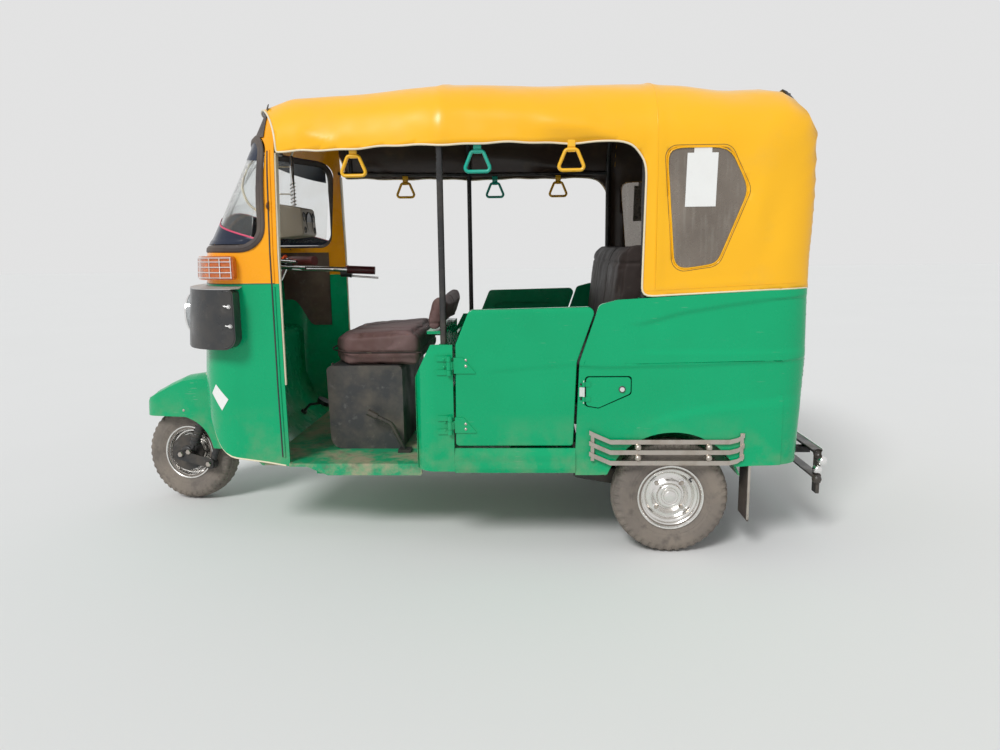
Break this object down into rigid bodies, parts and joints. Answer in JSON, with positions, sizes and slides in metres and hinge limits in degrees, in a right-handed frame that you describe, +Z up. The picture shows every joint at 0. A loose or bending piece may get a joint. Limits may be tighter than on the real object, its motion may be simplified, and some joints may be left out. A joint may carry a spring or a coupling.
{
  "type": "auto rickshaw",
  "caption": "Three-wheeled auto rickshaw with a green steel body, yellow cab and fabric hood, two half doors and open sides.",
  "frame": {"origin": "on the ground under the middle of the whole vehicle", "axes": "+X forward, +Y to the vehicle's left, +Z up"},
  "size_m": [2.7699, 1.343, 1.7038],
  "materials": {
    "body_green": "gloss",
    "cab_yellow": "gloss",
    "hood_cloth": "satin",
    "clear_glass": "gloss",
    "clear_sheet": "gloss",
    "black_rubber": "matte",
    "tyre_rubber": "matte",
    "black_plastic": "satin",
    "grey_plastic": "satin",
    "amber_plastic": "gloss",
    "red_plastic": "gloss",
    "yellow_plastic": "gloss",
    "red_grip": "satin",
    "brown_vinyl": "satin",
    "black_paint": "satin",
    "bright_steel": "satin",
    "chrome_plate": "gloss",
    "dull_aluminium": "satin"
  },
  "bodies": {
    "vehicle": {"floor_pan": "body_green", "toe_board": "body_green", "cowl_lower": "body_green", "cowl_upper": "cab_yellow", "windscreen_seal": "black_rubber", "windscreen": "clear_glass", "lamp_housing": "black_plastic", "headlamps": "clear_glass", "indicators": "amber_plastic", "dash_panel": "grey_plastic", "bulkhead": "body_green", "door_hinges": "body_green", "sills": "body_green", "quarter_left": "body_green", "quarter_right": "body_green", "tail_panel": "body_green", "flap_hinge": "body_green", "engine_door_hinges": "body_green", "seat_deck": "body_green", "wheel_houses": "body_green", "hood": "hood_cloth", "hood_windows": "clear_sheet", "roof_frame": "black_paint", "rear_visor": "black_plastic", "driver_seat_base": "grey_plastic", "driver_seat": "brown_vinyl", "passenger_seat": "brown_vinyl", "starter_lever": "black_paint", "brake_pedal": "black_paint", "hand_grips": "yellow_plastic", "rear_axle": "black_paint", "chassis_frame": "black_paint", "engine_block": "dull_aluminium", "side_guards": "bright_steel", "mud_flaps": "black_rubber", "rear_bumper": "black_paint", "tail_lamps": "red_plastic"},
    "steering": {"steering_stem": "black_paint", "handlebar": "chrome_plate", "handlebar_grips": "red_grip", "front_mudguard": "body_green", "front_suspension": "bright_steel"},
    "front_wheel": {"front_rim": "bright_steel", "front_tyre": "tyre_rubber"},
    "rear_left_wheel": {"rear_left_rim": "bright_steel", "rear_left_tyre": "tyre_rubber"},
    "rear_right_wheel": {"rear_right_rim": "bright_steel", "rear_right_tyre": "tyre_rubber"},
    "left_door": {"door_left": "body_green"},
    "right_door": {"door_right": "body_green"},
    "filler_flap": {"fuel_flap": "body_green"},
    "engine_lid": {"engine_door": "body_green"}
  },
  "joints": [
    {"name": "steer", "type": "hinge", "parent": "vehicle", "child": "steering", "pos_m": [0.798, 0, 0.9], "axis": [-0.4384, 0, 0.8988], "range_deg": [-26, 50]},
    {"name": "front_wheel_spin", "type": "hinge", "parent": "steering", "child": "front_wheel", "pos_m": [1.17486, -0.00765, 0.20947], "axis": [0.1869, 0.9781, 0.0911], "continuous": true},
    {"name": "rear_left_wheel_spin", "type": "hinge", "parent": "vehicle", "child": "rear_left_wheel", "pos_m": [-0.82304, 0.575, 0.207], "axis": [0, 1, 0], "continuous": true},
    {"name": "rear_right_wheel_spin", "type": "hinge", "parent": "vehicle", "child": "rear_right_wheel", "pos_m": [-0.82304, -0.575, 0.207], "axis": [0, 1, 0], "continuous": true},
    {"name": "left_door_hinge", "type": "hinge", "parent": "vehicle", "child": "left_door", "pos_m": [-0.04904, 0.661, 0.585], "axis": [0, 0, -1], "range_deg": [0, 80]},
    {"name": "right_door_hinge", "type": "hinge", "parent": "vehicle", "child": "right_door", "pos_m": [-0.04904, -0.661, 0.585], "axis": [0, 0, 1], "range_deg": [0, 80]},
    {"name": "filler_flap_hinge", "type": "hinge", "parent": "vehicle", "child": "filler_flap", "pos_m": [-0.51104, 0.655, 0.596], "axis": [0, 0, -1], "range_deg": [0, 100]},
    {"name": "engine_lid_hinge", "type": "hinge", "parent": "vehicle", "child": "engine_lid", "pos_m": [-1.29704, 0, 0.722], "axis": [0, 1, 0], "range_deg": [0, 75]}
  ]
}
